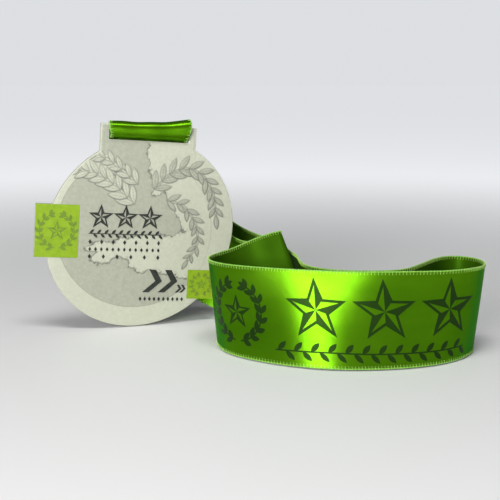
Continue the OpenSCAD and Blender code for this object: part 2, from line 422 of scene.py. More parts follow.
def bump(tree, bsdf, source, out, strength, distance):
    """Fine relief in the shading, distance metres deep."""
    node = tree.nodes.new("ShaderNodeBump")
    node.inputs["Strength"].default_value = strength
    node.inputs["Distance"].default_value = distance
    link(tree, source, out, node, "Height")
    link(tree, node, "Normal", bsdf, "Normal")


def satin(name, dark, light, metallic, roughness, anisotropic):
    """Woven satin: the warp runs along the ribbon, so its highlight spreads across it."""
    material, tree, bsdf = nodes_of(name)
    cloud = noise(tree, "UV", 60, 4, 0.6, (1, 0.35, 1))
    colour = ramp(tree, cloud, "Fac", [(0.3, dark), (0.7, light)])
    link(tree, colour, "Color", bsdf, "Base Color")
    yarn = noise(tree, "UV", 2400, 3, 0.6, (1, 0.2, 1))
    rough = ramp(tree, yarn, "Fac", grey(roughness - 0.09, roughness + 0.11))
    link(tree, rough, "Color", bsdf, "Roughness")
    bump(tree, bsdf, yarn, "Fac", 0.5, 0.00009)
    tangent = tree.nodes.new("ShaderNodeTangent")
    tangent.direction_type = "UV_MAP"
    tangent.uv_map = "UVMap"
    link(tree, tangent, "Tangent", bsdf, "Tangent")
    bsdf.inputs["Metallic"].default_value = metallic
    bsdf.inputs["Anisotropic"].default_value = anisotropic
    bsdf.inputs["Specular IOR Level"].default_value = 0.25
    bsdf.inputs["Specular Tint"].default_value = (0.25, 0.6, 0.08, 1)
    return material


def thread(name, dark, light):
    """Twisted polyester thread."""
    material, tree, bsdf = nodes_of(name)
    cloud = noise(tree, "Object", 900, 2)
    colour = ramp(tree, cloud, "Fac", [(0.35, dark), (0.65, light)])
    link(tree, colour, "Color", bsdf, "Base Color")
    fibre = noise(tree, "Object", 6000, 2)
    bump(tree, bsdf, fibre, "Fac", 0.4, 0.00004)
    bsdf.inputs["Roughness"].default_value = 0.45
    bsdf.inputs["Sheen Weight"].default_value = 0.25
    return material


def ink(name, dark, light, roughness=0.5, grain=900):
    """Screen-printed ink that lets a little of the ground's grain through."""
    material, tree, bsdf = nodes_of(name)
    cloud = noise(tree, "Object", grain, 3)
    colour = ramp(tree, cloud, "Fac", [(0.32, dark), (0.68, light)])
    link(tree, colour, "Color", bsdf, "Base Color")
    rough = ramp(tree, cloud, "Fac", grey(roughness - 0.08, roughness + 0.1))
    link(tree, rough, "Color", bsdf, "Roughness")
    speck = noise(tree, "Object", grain * 3, 3)
    bump(tree, bsdf, speck, "Fac", 0.4, 0.00002)
    bsdf.inputs["Specular IOR Level"].default_value = 0.3
    return material


satin_face = satin("satin_face", (0.060, 0.190, 0.002), (0.090, 0.245, 0.004), 0.85, 0.335, 0.80)
satin_back = satin("satin_back", (0.032, 0.10, 0.002), (0.046, 0.13, 0.003), 0.45, 0.48, 0.6)
satin_ink = satin("satin_ink", (0.009, 0.026, 0.004), (0.014, 0.037, 0.006), 0.3, 0.42, 0.7)
selvedge = thread("selvedge_thread", (0.10, 0.30, 0.01), (0.17, 0.42, 0.02))
pale_thread = thread("pale_thread", (0.30, 0.52, 0.06), (0.42, 0.66, 0.12))
dark_ink = ink("dark_ink", (0.012, 0.014, 0.012), (0.03, 0.034, 0.028))
panel_ink = ink("panel_ink", (0.172, 0.285, 0.005), (0.212, 0.335, 0.009), 0.55, 500)
olive_ink = ink("olive_ink", (0.105, 0.178, 0.012), (0.132, 0.210, 0.020), 0.55, 700)


# ---------------------------------------------------------------- the ribbon

# The stations in order, right round the loop. The ribbon's own ends lap at LAP_S.
bar_at = [from_plate(TAB_SHIFT + side * GATHERED_W / 2, 0.0, BAR_Z) for side in (1, -1)]
up = from_plate(0.0, 0.0, 1.0) - from_plate(0.0, 0.0, 0.0)
stations = [[np.array(p, float) for p in pair] + [np.zeros(3)] for pair in ROUTE]
for right, left in WRAP:
    ends = [bar_at[k] + np.array([k * left[2], left[0], 0]) + up * left[1] for k in (0, 1)]
    flare = np.array([right[2], right[0] - left[0], 0]) + up * (right[1] - left[1])
    stations.append([*ends, flare])
stations = np.array(stations)
COUNT = len(stations)
LAP_S = 34.5
FLARE_POWER = 3.5
ROW_STEP = 1.0
COLUMNS = 25


def on_spline(s):
    """Both edge points and the flare at station numbers s, on a smooth closed curve."""
    i = np.floor(s).astype(int)
    u = (s - i)[:, None, None]
    p0, p1, p2, p3 = (stations[(i + k) % COUNT] for k in (-1, 0, 1, 2))
    linear = (p2 - p0) * u
    square = (2 * p0 - 5 * p1 + 4 * p2 - p3) * u**2
    cube = (3 * p1 - p0 - 3 * p2 + p3) * u**3
    return (2 * p1 + linear + square + cube) / 2


fine = np.linspace(LAP_S, LAP_S + COUNT, COUNT * 40 + 1)
middle = on_spline(fine)[:, :2].mean(axis=1)
travelled = np.concatenate([[0], np.cumsum(np.linalg.norm(np.diff(middle, axis=0), axis=1))])
LENGTH = travelled[-1]
ROWS = round(LENGTH / ROW_STEP) + 1
length_at = np.linspace(0, LENGTH, ROWS)
station_at = np.interp(length_at, travelled, fine)


def length_of(s):
    """Millimetres along the ribbon from its sewn lap to a station."""
    return float(np.interp(s if s > LAP_S else s + COUNT, fine, travelled))


def near(s, inner, outer):
    """1 within inner mm of a station along the ribbon, 0 beyond outer mm."""
    gap = np.abs(length_at - length_of(s))
    gap = np.minimum(gap, LENGTH - gap)
    return 1 - smoothstep(gap, inner, outer)


WRAP_MID = 45.5
at_bar = near(WRAP_MID, 10, 16)
splined = on_spline(station_at)
edges, flare = splined[:, :2], splined[:, 2]
spread = np.arange(-12, 13)
kernel = np.exp(-0.5 * (spread / 4.0) ** 2)
kernel /= kernel.sum()
index = (np.arange(ROWS)[:, None] + spread[None, :]) % (ROWS - 1)
smoothed = np.einsum("rkec,k->rec", edges[index], kernel)
soft = (1 - np.maximum(near(CREASE_STATION, 4, 12), at_bar))[:, None, None]
edges = edges * (1 - soft) + smoothed * soft

# The edge cord sits just inside the cut width, so the sheet stops short of it.
EDGE_IN = 0.42
across = np.linspace(0, 1, COLUMNS)
width = np.linalg.norm(edges[:, 1] - edges[:, 0], axis=1)
inset = (EDGE_IN / width)[:, None]
share = inset + (1 - 2 * inset) * across[None, :]
sheet = edges[:, :1] * (1 - share[..., None]) + edges[:, 1:] * share[..., None]
sheet = sheet + flare[:, None] * ((1 - share) ** FLARE_POWER)[..., None]


def surface_normals(grid):
    along = np.gradient(grid, axis=0)
    along[0] = along[-1] = grid[1] - grid[0] + grid[-1] - grid[-2]
    return unit(np.cross(np.gradient(grid, axis=1), along))


# Slow waves in the cloth, and gathers where the slot squeezes it.
out = surface_normals(sheet)
length_grid, across_grid = np.meshgrid(length_at, across * RIBBON_W, indexing="ij")
slack = waves(length_grid, across_grid * 0.5, 11, 34) * 0.22
at_ends = smoothstep(length_at, 0, 12) * (1 - smoothstep(length_at, LENGTH - 12, LENGTH))
gather = np.cos(across[None, :] * 17 + 0.6 + 0.03 * length_grid) * (0.5 + 0.5 * across[None, :])
gathered = (near(WRAP_MID, 14, 60) * (1 - at_bar))[:, None]
calm = (at_ends * (1 - at_bar) * (1 - 0.8 * near(CREASE_STATION, 3, 14)))[:, None]
gathers = gather * 0.45 * gathered + gather * 0.12 * at_bar[:, None]
sheet = sheet + out * (slack * calm + gathers)[..., None]
out = surface_normals(sheet)


def on_ribbon(length, side, off):
    """The point length mm from the lap, side mm from the upper edge and off mm out of the cloth."""
    r = np.clip(np.asarray(length, float) / ROW_STEP * (ROWS - 1) * ROW_STEP / LENGTH, 0, ROWS - 1.001)
    i = np.floor(r).astype(int)
    fr = (r - i)[..., None]
    w = width[i] - 2 * EDGE_IN
    c = (np.asarray(side, float) - EDGE_IN) / w * (COLUMNS - 1)
    j = np.clip(np.floor(c), 0, COLUMNS - 2).astype(int)
    fc = (c - j)[..., None]

    def mix(a):
        low = a[i, j] * (1 - fr) + a[i + 1, j] * fr
        high = a[i, j + 1] * (1 - fr) + a[i + 1, j + 1] * fr
        return low * (1 - fc) + high * fc

    return mix(sheet) + mix(out) * np.asarray(off, float)[..., None]


def cloth_strip(name, grid, normals, uv, thick, face_material, back_material):
    """A closed thin solid over a grid of points, with its face on the side of the normals."""
    rows, columns = grid.shape[:2]
    n = rows * columns
    top = (grid + normals * thick / 2).reshape(-1, 3)
    low = (grid - normals * thick / 2).reshape(-1, 3)
    quads = grid_faces(rows, columns)
    face_quads = [q[::-1] for q in quads]
    back_quads = [tuple(k + n for k in q) for q in quads]
    loop = [i * columns for i in range(rows)] + [(rows - 1) * columns + j for j in range(1, columns)]
    loop += [i * columns + columns - 1 for i in range(rows - 2, -1, -1)]
    loop += [j for j in range(columns - 2, 0, -1)]
    rim = [(a, b, b + n, a + n) for a, b in zip(loop, loop[1:] + loop[:1])]
    faces = face_quads + back_quads + [r[::-1] for r in rim]
    points, pairs = np.concatenate([top, low]), np.concatenate([uv.reshape(-1, 2)] * 2)
    piece = new_piece(name, in_row(points), faces, face_material, uv=pairs, sharp=60)
    piece.data.materials.append(back_material)
    back = np.zeros(len(faces), dtype=np.int32)
    back[len(face_quads):len(face_quads) + len(back_quads)] = 1
    piece.data.polygons.foreach_set("material_index", back)
    return piece


uv_grid = np.stack([across_grid, length_grid], axis=-1) * MM
ribbon = cloth_strip("ribbon_cloth", sheet, out, uv_grid, RIBBON_T, satin_face, satin_back)

# The lap: the ribbon's other end lies over the first and is sewn down.
LAP_L = 11.0
lap_l, lap_w = np.meshgrid(np.linspace(0, LAP_L, 13), np.linspace(0.7, RIBBON_W - 1.4, 20), indexing="ij")
lap_off = 0.40 + 0.14 * np.exp(-((lap_l - LAP_L) / 0.8) ** 2)
lap_grid = on_ribbon(lap_l, lap_w, lap_off)
lap_uv = np.stack([lap_w, lap_l], axis=-1) * MM
lap = cloth_strip("ribbon_lap", lap_grid, surface_normals(lap_grid), lap_uv, RIBBON_T,
                  satin_face, satin_back)


def tubes(name, paths, radii, sides, material, closed=False):
    """Round rods along many paths of points, all in one mesh. The ends are closed."""
    verts, faces = [], []
    ring = np.linspace(0, math.tau, sides, endpoint=False)
    for path, radius in zip(paths, radii):
        p = np.asarray(path, float)
        if closed:
            along = unit(np.roll(p, -1, axis=0) - np.roll(p, 1, axis=0))
        else:
            along = unit(np.gradient(p, axis=0))
        helper = np.where(np.abs(along[:, 2:3]) < 0.9, [[0, 0, 1.0]], [[1.0, 0, 0]])
        a = unit(np.cross(along, helper))
        b = np.cross(along, a)
        start = sum(len(v) for v in verts)
        circle = a[:, None] * np.cos(ring)[None, :, None] + b[:, None] * np.sin(ring)[None, :, None]
        verts.append((p[:, None] + circle * radius).reshape(-1, 3))
        faces += grid_faces(len(p), sides, closed, True, start)
        if not closed:
            faces.append(tuple(start + k for k in range(sides))[::-1])
            last = start + (len(p) - 1) * sides
            faces.append(tuple(last + k for k in range(sides)))
    return new_piece(name, in_row(np.concatenate(verts)), faces, material, sharp=70)


# A rolled cord runs along each edge, and small stitches loop round it.
STITCH_R = 0.085
SEAM_R = 0.16
# One stitch's loop in the plane across the edge: inward from the edge, and out of the cloth.
STITCH_LOOP = [(1.15, 0.25), (0.25, 0.34), (-0.22, 0.22), (-0.32, 0.0),
               (-0.22, -0.22), (0.25, -0.34), (1.15, -0.25)]
cords = [sheet[:-1, 0], sheet[:-1, -1]]
stitches = []
count = int(LENGTH / STITCH_STEP)
spots = (np.arange(count) + 0.5) * LENGTH / count
row = np.interp(spots, length_at, np.arange(ROWS))
for j, k in ((0, 1), (COLUMNS - 1, COLUMNS - 2)):
    for r in row:
        i = min(int(r), ROWS - 2)
        centre = sheet[i, j] + (sheet[i + 1, j] - sheet[i, j]) * (r - i)
        normal = unit(out[i, j] * (i + 1 - r) + out[i + 1, j] * (r - i))
        inward = unit(sheet[i, k] - sheet[i, j])
        ahead = unit(sheet[i + 1, j] - sheet[i, j]) * 0.22
        loop = [centre + inward * a + normal * b for a, b in STITCH_LOOP]
        stitches.append([p + ahead * (n / 3 - 1) for n, p in enumerate(loop)])
edge_cord = tubes("ribbon_edge_cords", cords, [BEAD_R] * 2, 6, selvedge, closed=True)
edge_stitches = tubes("ribbon_edge_stitches", stitches, [STITCH_R] * len(stitches), 4, pale_thread)

# Two rows of stitches across the lap, and a cross between them.
SEAM_IN = 1.6
seam = []
for where in (SEAM_IN, LAP_L - SEAM_IN):
    for w in np.arange(2.2, RIBBON_W - 3.4, 1.6):
        part = np.linspace(0, 1, 5)
        lift = 0.62 + 0.14 * np.sin(math.pi * part)
        seam.append(on_ribbon(np.full(5, where), w + 1.25 * part, lift))
for w0, w1 in ((3.0, RIBBON_W - 4.0), (RIBBON_W - 4.0, 3.0)):
    for k in range(22):
        part = np.linspace(k / 22, (k + 0.78) / 22, 5)
        lift = 0.62 + 0.14 * np.sin(math.pi * np.linspace(0, 1, 5))
        seam.append(on_ribbon(SEAM_IN + (LAP_L - 2 * SEAM_IN) * part, w0 + (w1 - w0) * part, lift))
seam_thread = tubes("ribbon_lap_thread", seam, [SEAM_R] * len(seam), 5, pale_thread)


# ---------------------------------------------------------------- the ribbon's print


def ribbon_place(x, y, off):
    """x runs along the ribbon from the lap, y up from the middle of its width."""
    return in_row(on_ribbon(x, RIBBON_W / 2 - y, np.full(np.shape(x), RIBBON_T / 2 + off)))


ribbon_art = []
first, last = length_of(16.95), length_of(20.05)
for k in range(3):
    ribbon_art += compass_star((first + (last - first) * k / 2, 3.2), 12.9, 1.1)
ribbon_art += vine((length_of(16.0), -13.2), (length_of(20.6), -13.2), 5.0, 24)
ribbon_art += wreath((length_of(14.78), -0.2), 11.6, 8)
ribbon_print = print_on("ribbon_print", ribbon_art, ribbon_place, satin_ink, 0.03, 0.05, 1.0)


# ---------------------------------------------------------------- the plate


def plate_place(x, z, off):
    """A point on the plate's printed side, off mm in front of the bare metal."""
    return in_row(from_plate(np.asarray(x, float), FACE_Y - off, np.asarray(z, float)))


def rect_exit(theta, rect):
    """How far a ray from the plate's middle runs before it leaves a rectangle, 0 if it misses."""
    x, z, w, h = rect
    dx, dz = np.cos(theta), np.sin(theta)
    dx = np.where(np.abs(dx) < 1e-9, 1e-9, dx)
    dz = np.where(np.abs(dz) < 1e-9, 1e-9, dz)
    tx = np.sort(np.stack([x / dx, (x + w) / dx]), axis=0)
    tz = np.sort(np.stack([z / dz, (z + h) / dz]), axis=0)
    enter, leave = np.maximum(tx[0], tz[0]), np.minimum(tx[1], tz[1])
    return np.where((leave > enter) & (leave > 0), leave, 0.0)


def plate_outline(grow=0.0):
    """The outline of oval, tab and panels together, moved out by grow."""
    rects = [(TAB_SHIFT - TAB_W / 2, 0.0, TAB_W, TAB_TOP), PANEL, SMALL_PANEL]
    corners = [math.atan2(z + b * h, x + a * w) for x, z, w, h in rects for a in (0, 1) for b in (0, 1)]
    theta = np.linspace(-math.pi, math.pi, 720, endpoint=False)
    nearest = np.abs(theta[:, None] - np.array(corners)[None, :]).min(axis=1)
    theta = np.sort(np.concatenate([theta[nearest > 0.004], corners]))
    t = theta - OVAL_TILT
    reach = 1 / np.sqrt((np.cos(t) / OVAL_A) ** 2 + (np.sin(t) / OVAL_B) ** 2)
    for rect in rects:
        reach = np.maximum(reach, rect_exit(theta, rect))
    ring = np.stack([reach * np.cos(theta), reach * np.sin(theta)], axis=1)
    before, after = unit(ring - np.roll(ring, 1, axis=0)), unit(np.roll(ring, -1, axis=0) - ring)
    first, second = (np.stack([d[:, 1], -d[:, 0]], axis=1) for d in (before, after))
    mitre = (first + second) / np.maximum(1 + (first * second).sum(axis=1, keepdims=True), 0.6)
    return ring + mitre * grow


def slot_outline(grow=0.0):
    """The slot's outline, with small rounded corners."""
    w, h = SLOT_W / 2 + grow - SLOT_CORNER, SLOT_H / 2 + grow - SLOT_CORNER
    turn = np.linspace(0, math.pi / 2, 5)
    arc = np.stack([np.cos(turn), np.sin(turn)], axis=1) * SLOT_CORNER
    ring = []
    for k, (sx, sz) in enumerate(((1, 1), (-1, 1), (-1, -1), (1, -1))):
        ring.append(turned(arc, k * math.pi / 2, (sx * w, sz * h)))
    return np.concatenate(ring) + [TAB_SHIFT, SLOT_Z + SLOT_H / 2]


def ring_triangles(outer, holes, grid=()):
    """Triangles of a flat region with holes. Returns points and faces."""
    rings = [outer, *holes]
    points, edges = [], []
    for ring in rings:
        start = len(points)
        points += [Vector(p) for p in ring]
        edges += [(start + k, start + (k + 1) % len(ring)) for k in range(len(ring))]
    points += [Vector(p) for p in grid]
    verts, _, faces, *_ = delaunay_2d_cdt(points, edges, [], 0, 1e-6, False)
    flat = np.array([tuple(v) for v in verts])
    centre = np.array([flat[list(f)].mean(axis=0) for f in faces])
    keep = inside(np.asarray(outer), centre[:, 0], centre[:, 1])
    for hole in holes:
        keep &= ~inside(np.asarray(hole), centre[:, 0], centre[:, 1])
    return flat, [tuple(f) for f, ok in zip(faces, keep) if ok]


# The plate is stacked up from the same rings at each depth, so its edges are rounded.
bevel = np.linspace(math.pi / 2, 0, 4)
levels = [(FACE_Y + PLATE_BEVEL * (1 - math.sin(a)), -PLATE_BEVEL * (1 - math.cos(a))) for a in bevel]
levels += [(-y, g) for y, g in levels[::-1]]
verts, faces = [], []
outer_n, slot_n = len(plate_outline()), len(slot_outline())
for y, g in levels:
    ring = np.concatenate([plate_outline(g), slot_outline(-g)])
    verts.append(from_plate(ring[:, 0], np.full(len(ring), y), ring[:, 1]))
ring_n = outer_n + slot_n
for level in range(len(levels) - 1):
    base = level * ring_n
    for start, n, flip in ((0, outer_n, False), (outer_n, slot_n, True)):
        for k in range(n):
            a, b = base + start + k, base + start + (k + 1) % n
            quad = (a, b, b + ring_n, a + ring_n)
            faces.append(quad[::-1] if flip else quad)
for level, flip in ((0, True), (len(levels) - 1, False)):
    y, g = levels[level]
    flat, cap = ring_triangles(plate_outline(g), [slot_outline(-g)])
    base = level * ring_n
    faces += [tuple(base + k for k in (f if flip else f[::-1])) for f in cap]

# Two shades each of the bare metal's pale coat and of the grey print on it.
PALE = ((0.380, 0.394, 0.306), (0.438, 0.452, 0.354))
GREY = ((0.268, 0.277, 0.214), (0.324, 0.334, 0.260))
metal_coat, tree, bsdf = nodes_of("metal_coat")
cloud = noise(tree, "Object", 420, 4, 0.65)
colour = ramp(tree, cloud, "Fac", [(0.3, PALE[0]), (0.7, PALE[1])])
link(tree, colour, "Color", bsdf, "Base Color")
rough = ramp(tree, cloud, "Fac", grey(0.42, 0.6))
link(tree, rough, "Color", bsdf, "Roughness")
speck = noise(tree, "Object", 2600, 3)
bump(tree, bsdf, speck, "Fac", 0.35, 0.00003)
plate = new_piece("plate_body", in_row(np.concatenate(verts)), faces, metal_coat, sharp=50)
plate_faces = bmesh.new()
plate_faces.from_mesh(plate.data)
bmesh.ops.recalc_face_normals(plate_faces, faces=plate_faces.faces)
plate_faces.to_mesh(plate.data)
plate_faces.free()

# ---- the face: tone of the print, thin dark contour lines with painted shade along the lower side of each leaf, and height, at every point of a grid

ART_STEP = 0.34
FACE_SINK = 0.05
PANEL_GAP = 0.3
border = plate_outline(-0.55)
hole = slot_outline(0.3)
gx, gz = np.meshgrid(np.arange(-48, 38, ART_STEP), np.arange(-43, 48.5, ART_STEP))
gx = (gx + (np.arange(gx.shape[0]) % 2)[:, None] * ART_STEP / 2).ravel()
gz = gz.ravel()
keep = inside(border, gx, gz) & ~inside(hole, gx, gz)


def off_panels(x, z):
    """Whether points are clear of both panels."""
    clear = np.ones(x.shape, bool)
    for px, pz, w, h in (PANEL, SMALL_PANEL):
        clear &= ~((x > px - PANEL_GAP) & (x < px + w + PANEL_GAP)
                   & (z > pz - PANEL_GAP) & (z < pz + h + PANEL_GAP))
    return clear


keep &= off_panels(gx, gz)
gx, gz = gx[keep], gz[keep]
clear = (edge_distance(border, gx, gz) > ART_STEP * 0.4) & (edge_distance(hole, gx, gz) > ART_STEP * 0.4)
gx, gz = gx[clear], gz[clear]

# Two rings of points on the edge of the printed field keep that edge crisp.
rings = []

turn = np.arange(0, math.tau, ART_STEP / FIELD_R)
for r in (FIELD_R - 0.12, FIELD_R + 0.12):
    crisp = FIELD_AT + r * np.stack([np.cos(turn), np.sin(turn)], axis=1)
    apart = np.abs(np.hypot(gx - FIELD_AT[0], gz - FIELD_AT[1]) - r) > ART_STEP * 0.35
    gx, gz = gx[apart], gz[apart]
    cx, cz = crisp[:, 0], crisp[:, 1]
    safe = inside(border, cx, cz) & (edge_distance(border, cx, cz) > 0.2) & off_panels(cx, cz)
    rings.append(crisp[safe])
grid = np.concatenate([np.stack([gx, gz], axis=1), *rings])


def panel_ring(rect):
    """A panel's outline, just outside it."""
    x, z, w, h = rect
    left, right, foot, top = x - 0.05, x + w + 0.05, z - 0.05, z + h + 0.05
    return dense(np.array([(left, foot), (right, foot), (right, top), (left, top)]), ART_STEP * 1.5)


flat, art_faces = ring_triangles(border, [hole, panel_ring(PANEL), panel_ring(SMALL_PANEL)], grid)
fx, fz = flat[:, 0], flat[:, 1]

# The coast between the grey print and the pale ground is ragged, so the points are shaken first.
sx = fx + waves(fx, fz, 3, 5.0) * 0.55 + waves(fx, fz, 4, 1.8) * 0.34
sz = fz + waves(fx, fz, 5, 5.0) * 0.55 + waves(fx, fz, 6, 1.8) * 0.34
PALE_GROUND = np.array([
    (1.2, 60), (1.2, 33), (3.5, 24), (4.5, 17), (9, 18.5), (14, 13), (16.5, 6), (20, 1.5), (16, -0.5),
    (8, -1.5), (1, -0.8), (-5, -2.6), (-9, -2.0), (-13, -4.4), (-21, -4.8), (-26, -7.5), (-20, -9.5),
    (-23, -13.5), (-16, -14.8), (-12, -11.6), (-6, -11.8), (-5, -15.8), (1, -18.2), (7, -17.0),
    (13, -19.0), (20, -20.0), (27, -23), (60, -23), (60, 60)], float)
WEST_GROUND = np.array([
    (-9, 15), (-14, 19.5), (-19, 21.5), (-24, 25.5), (-33, 28.6), (-60, 30), (-30, 60), (-22, 36),
    (-17, 33.5), (-9, 29.5), (-13.5, 26.5), (-11, 22)], float)
field_gap = np.hypot(fx - FIELD_AT[0], fz - FIELD_AT[1]) - FIELD_R
on_tab = (fz > 30) & (np.abs(fx - TAB_SHIFT) < TAB_W / 2)
printed = 1 - smoothstep(field_gap, -0.15, 0.15)
printed = np.where(on_tab & (fz > 34), 1.0, printed)
pale = inside(PALE_GROUND, sx, sz) | inside(WEST_GROUND, sx, sz)
coast = np.minimum(edge_distance(PALE_GROUND, sx, sz), edge_distance(WEST_GROUND, sx, sz))
tone = printed * np.where(pale, 0.0, 1.0)
hatch = np.sin(3.4 * (fx + 0.6 * fz) + 2.5 * waves(fx, fz, 7, 6.0)) > 0.5
lines_and_shade = np.exp(-(coast / 0.32) ** 2) * printed
lines_and_shade = np.maximum(lines_and_shade, 0.42 * hatch * np.exp(-(coast / 1.1) ** 2) * printed * pale)
relief = np.where(pale, 0.09, 0.0) * smoothstep(coast, 0.0, 0.7) * printed + 0.06


def spray(curve, pairs, length, spread, leaf_tone, seed):
    """Leaves in pairs along a bent branch, drawn into tone, dark contour lines and relief; each leaf's
    outline is darker on its lower side as painted shade.
    """
    rng = np.random.default_rng(seed)
    curve = np.asarray(curve, float)
    knots = np.concatenate([[0], np.cumsum(np.linalg.norm(np.diff(curve, axis=0), axis=1))])
    where = np.linspace(0, knots[-1], 40)
    line = np.stack([np.interp(where, knots, curve[:, k]) for k in (0, 1)], axis=1)
    for _ in range(6):
        line[1:-1] = (line[:-2] + 2 * line[1:-1] + line[2:]) / 4
    stem = np.full(fx.shape, 1e9)
    for a, b in zip(line[:-1], line[1:]):
        d = b - a
        t = np.clip(((fx - a[0]) * d[0] + (fz - a[1]) * d[1]) / (d @ d), 0, 1)
        stem = np.minimum(stem, np.hypot(fx - a[0] - t * d[0], fz - a[1] - t * d[1]))
    blades = []
    for n, share in enumerate(np.linspace(0.02, 0.97, pairs)):
        k = int(share * 38)
        heading = math.atan2(*(line[k + 1] - line[k])[::-1])
        for s in (1, -1):
            blades.append((line[k], heading + s * (spread + rng.uniform(-0.08, 0.08)),
                           length * rng.uniform(0.9, 1.08) * (1 - 0.35 * share)))
    end = math.atan2(*(line[-1] - line[-3])[::-1])
    blades.append((line[-1], end, length * 0.75))
    inked = stem < 0.42
    tone[inked] = leaf_tone
    relief[inked] = 0.13
    lines_and_shade[:] = np.maximum(lines_and_shade * ~inked, 0.75 * np.exp(-((stem - 0.45) / 0.2) ** 2) * (stem > 0.3))
    for foot, angle, size in blades:
        u = (fx - foot[0]) * math.cos(angle) + (fz - foot[1]) * math.sin(angle)
        v = -(fx - foot[0]) * math.sin(angle) + (fz - foot[1]) * math.cos(angle)
        half = 0.17 * size * np.sin(math.pi * np.clip(u / size, 0, 1)) ** 0.8
        beyond = np.hypot(np.minimum(np.abs(u), np.abs(u - size)), v)
        gap = np.where((u > 0) & (u < size), np.abs(v) - half, beyond)
        inked = gap < 0
        depth = smoothstep(-gap, 0.0, 0.5)
        veins = np.exp(-(v / 0.18) ** 2) * 0.7 + 0.3 * (np.sin((u - np.abs(v) * 0.9) * 4.2) > 0.7)
        tone[inked] = leaf_tone - 0.15 * depth[inked]
        relief[inked] = 0.06 + 0.16 * depth[inked] - 0.06 * veins[inked]
        lines_and_shade[inked] = veins[inked] * 0.55
        # Each leaf's outline is drawn darker along its lower side: painted shade, as if lit from above.
        rim = np.exp(-(gap / 0.28) ** 2)
        shadow = smoothstep(v * math.cos(angle) + u * math.sin(angle) * 0.2, 1.0, -1.0)
        lines_and_shade[:] = np.maximum(lines_and_shade, rim * (0.55 + 0.45 * shadow) * (gap < 0.5))


spray([(-4, 13), (-12, 20.5), (-21, 26), (-31, 27.5)], 8, 9.5, 0.62, 0.0, seed=2)
spray([(-3, 22), (-10, 28), (-17, 32.5), (-24, 34)], 6, 7.5, 0.55, 0.0, seed=3)
spray([(5, 20), (11, 27), (19, 30.5), (27, 27.5), (32.5, 19), (34, 9)], 10, 8.6, 0.62, 0.85, seed=4)
spray([(11, 15), (19, 13), (25, 5), (26.5, -4), (22, -12)], 8, 6.6, 0.6, 0.8, seed=5)

grain = waves(fx, fz, 8, 2.6, 40) * 0.5 + waves(fx, fz, 9, 1.1, 40) * 0.5
relief = relief + 0.012 * grain
relief = np.clip(relief, 0.02, 0.24)
edge_gap = np.minimum(edge_distance(border, fx, fz), edge_distance(hole, fx, fz))
relief = relief * smoothstep(edge_gap, -0.01, 0.5)
rim_line = np.exp(-(field_gap / 0.22) ** 2) * (fz < 34) * 0.5
lines_and_shade = np.clip(np.maximum(lines_and_shade, rim_line * (1 - printed * 0.3) * (tone > 0.05)), 0, 1)
tone = np.clip(tone + 0.10 * grain * (tone > 0.3), 0, 1)

face_print, tree, bsdf = nodes_of("face_print")
paint = tree.nodes.new("ShaderNodeVertexColor")
paint.layer_name = "Art"
parts = tree.nodes.new("ShaderNodeSeparateColor")
link(tree, paint, "Color", parts, "Color")
fleck = noise(tree, "Object", 700, 4, 0.7)
pale_tone = ramp(tree, fleck, "Fac", [(0.3, PALE[0]), (0.7, PALE[1])])
grey_tone = ramp(tree, fleck, "Fac", [(0.3, GREY[0]), (0.7, GREY[1])])


def mix_colour(first, second, factor, factor_out):
    node = tree.nodes.new("ShaderNodeMix")
    node.data_type = "RGBA"
    link(tree, factor, factor_out, node, "Factor")
    tree.links.new(first, node.inputs["A"])
    if isinstance(second, tuple):
        node.inputs["B"].default_value = (*second, 1)
    else:
        tree.links.new(second, node.inputs["B"])
    return node.outputs["Result"]


toned = mix_colour(pale_tone.outputs["Color"], grey_tone.outputs["Color"], parts, "Red")
# The green channel darkens the colour for the printed lines and for the painted shade under each leaf.
lines_and_shade_mix = mix_colour(toned, (0.105, 0.11, 0.088), parts, "Green")
tree.links.new(lines_and_shade_mix, bsdf.inputs["Base Color"])
rough = ramp(tree, fleck, "Fac", grey(0.42, 0.62))
link(tree, rough, "Color", bsdf, "Roughness")
speck = noise(tree, "Object", 2400, 3)
bump(tree, bsdf, speck, "Fac", 0.4, 0.00003)

used, sides = skirt(open_edges(art_faces), len(flat))
top = plate_place(fx, fz, relief)
foot = plate_place(fx[used], fz[used], -FACE_SINK)
face_art = new_piece("face_relief", np.concatenate([top, foot]), art_faces + sides, face_print, sharp=60)
layer = face_art.data.color_attributes.new("Art", "FLOAT_COLOR", "POINT")
shades = np.zeros((len(top) + len(foot), 4), dtype=np.float32)
shades[:, 3] = 1
# The green channel holds the dark lines and the painted shade under each leaf.
shades[:len(top), 0], shades[:len(top), 1] = tone, lines_and_shade
shades[len(top):, 0] = tone[used]
layer.data.foreach_set("color", shades.ravel())

# ---- the dark print and the panels

art = []
for k in range(3):
    art += compass_star((-18.6 + 11.1 * k, 6.6), 5.8, 0.6)
art += vine((-23.8, -0.9), (9.0, -0.9), 2.6, 20)
for z, n, size in ((-4.6, 7, 1.8), (-7.9, 13, 1.6), (-11.2, 6, 1.8)):
    for x in np.linspace(-23, 8.0, n):
        art.append(lozenge((x, z), size * 0.8, size * 1.25))
art += [chevron((1.6, -27.2), 4.4, 10.4, 3.0, 0.28), chevron((8.8, -27.2), 4.4, 10.4, 3.0, 0.28)]
art += [chevron((16.8, -27.2), 1.5, 3.6, 1.1, 0.2), chevron((18.8, -27.2), 1.5, 3.6, 1.1, 0.2)]
for x in np.linspace(0.8, 20.2, 10):
    art.append(lozenge((x, -30.3), 1.3, 2.0))
dark_print = print_on("dark_print", art, plate_place, dark_ink, 0.3, -0.02, 1.2)

panel_mid = (PANEL[0] + PANEL[2] / 2, PANEL[1] + PANEL[3] / 2)
small_mid = (SMALL_PANEL[0] + SMALL_PANEL[2] / 2, SMALL_PANEL[1] + SMALL_PANEL[3] / 2)
emblems = wreath(panel_mid, 7.6, 7) + wreath(small_mid, 4.6, 6)
panel_print = print_on("panel_emblems", emblems, plate_place, olive_ink, 0.26, -0.15, 1.2)


# ---------------------------------------------------------------- what stands for what

